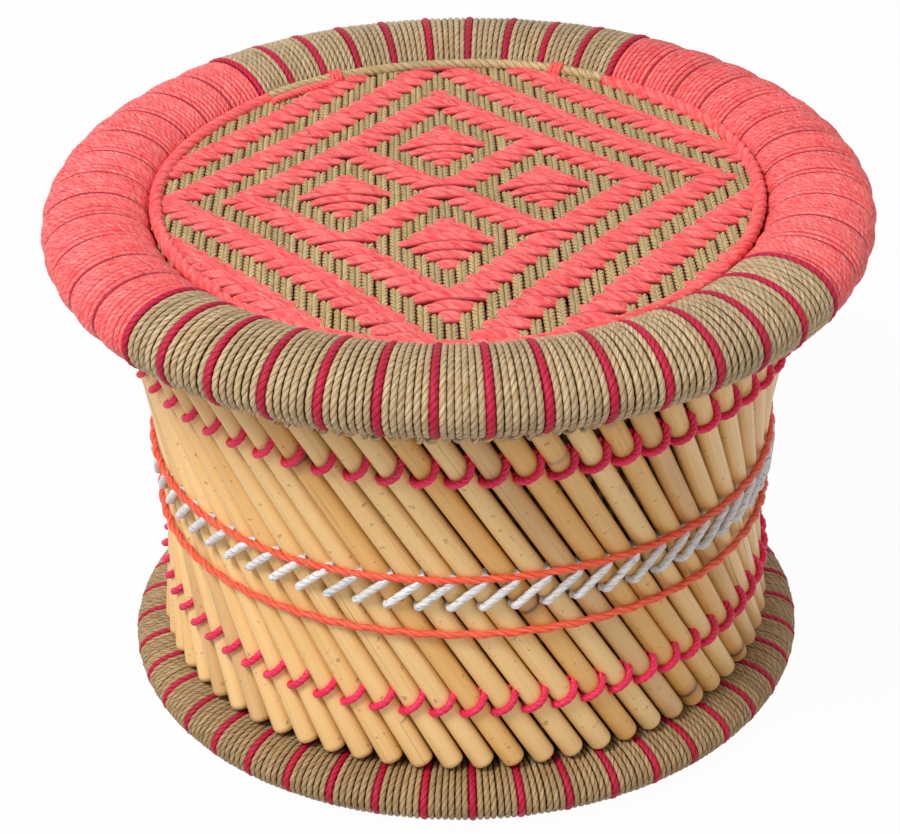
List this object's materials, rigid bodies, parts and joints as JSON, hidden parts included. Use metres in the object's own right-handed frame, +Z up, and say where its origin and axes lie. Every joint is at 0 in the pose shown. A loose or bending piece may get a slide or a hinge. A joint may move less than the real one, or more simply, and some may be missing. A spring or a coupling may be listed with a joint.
{
  "type": "mudda stool",
  "caption": "Low round stool: a waisted drum of crossed canes tied with cords between two rope-wound rims, with a diamond-woven rope seat sunk in the upper rim.",
  "frame": {"origin": "middle of the stool at floor level", "axes": "+Z up along the stool's middle axis; -Y towards the front, the khaki part of the upper rim that faces the picture's camera; +X to the right as seen from the front"},
  "size_m": [0.4498, 0.4498, 0.298],
  "materials": {
    "rim_core": "bundle of dry reed, hidden",
    "khaki_rope": "laid rope of twisted grass or jute fibre, matt",
    "coral_cord": "fine laid synthetic cord with a light sheen",
    "crimson_cord": "laid synthetic cord with a light sheen",
    "orange_cord": "thin laid synthetic cord",
    "white_cord": "braided synthetic cord",
    "seat_weave": "diamond twill of coral and khaki cords",
    "cane": "smooth natural skin, half gloss",
    "cane_shaded": "smooth natural skin, in the shade of the outer layer"
  },
  "bodies": {
    "root": {"top_rim_core": "rim_core", "top_winding_front": "khaki_rope", "top_winding_right": "coral_cord", "top_winding_back": "khaki_rope", "top_winding_left": "coral_cord", "top_accent_front": "crimson_cord", "top_accent_back": "crimson_cord", "seat_web": "seat_weave", "seat_edge_front": "coral_cord", "seat_edge_right": "coral_cord", "seat_edge_back": "khaki_rope", "seat_edge_left": "coral_cord", "outer_canes_01": "cane", "inner_canes_01": "cane_shaded", "outer_canes_02": "cane", "inner_canes_02": "cane_shaded", "outer_canes_03": "cane", "inner_canes_03": "cane_shaded", "outer_canes_04": "cane", "inner_canes_04": "cane_shaded", "outer_canes_05": "cane", "inner_canes_05": "cane_shaded", "outer_canes_06": "cane", "inner_canes_06": "cane_shaded", "outer_canes_07": "cane", "inner_canes_07": "cane_shaded", "outer_canes_08": "cane", "inner_canes_08": "cane_shaded", "outer_canes_09": "cane", "inner_canes_09": "cane_shaded", "outer_canes_10": "cane", "inner_canes_10": "cane_shaded", "outer_canes_11": "cane", "inner_canes_11": "cane_shaded", "outer_canes_12": "cane", "inner_canes_12": "cane_shaded", "outer_canes_13": "cane", "inner_canes_13": "cane_shaded", "outer_canes_14": "cane", "inner_canes_14": "cane_shaded", "outer_canes_15": "cane", "inner_canes_15": "cane_shaded", "outer_canes_16": "cane", "inner_canes_16": "cane_shaded", "upper_lashing": "crimson_cord", "lower_lashing": "crimson_cord", "waist_lashing": "white_cord", "upper_guard_cord": "orange_cord", "lower_guard_cord": "orange_cord", "foot_rim_core": "rim_core", "foot_winding_front": "khaki_rope", "foot_winding_back": "khaki_rope"}
  },
  "joints": []
}
